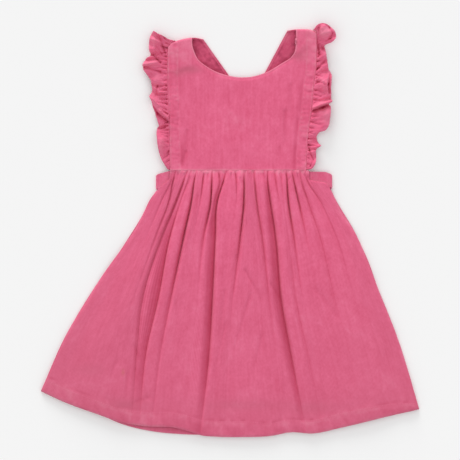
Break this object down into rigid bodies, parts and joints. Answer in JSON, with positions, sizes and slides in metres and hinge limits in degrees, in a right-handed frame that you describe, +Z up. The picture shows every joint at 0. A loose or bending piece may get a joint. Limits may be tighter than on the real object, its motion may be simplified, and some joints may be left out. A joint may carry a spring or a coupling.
{
  "type": "pinafore dress",
  "caption": "Toddler's fine corduroy pinafore laid flat: scooped bib, crossed back straps, armhole ruffles, elastic waist and a full gathered skirt.",
  "frame": {"origin": "under the middle of the dress's outline, on the surface it lies on", "axes": "+X to the right as the dress is seen from above, +Y from the hem to the shoulders, +Z up out of the front"},
  "size_m": [0.503, 0.5488, 0.012],
  "materials": {
    "corduroy": "matt, fine vertical wale, washed"
  },
  "bodies": {
    "root": {"bib": "corduroy", "skirt_front": "corduroy", "skirt_back": "corduroy", "waistband": "corduroy", "strap_left": "corduroy", "strap_right": "corduroy", "ruffle_left": "corduroy", "ruffle_right": "corduroy"}
  },
  "joints": []
}
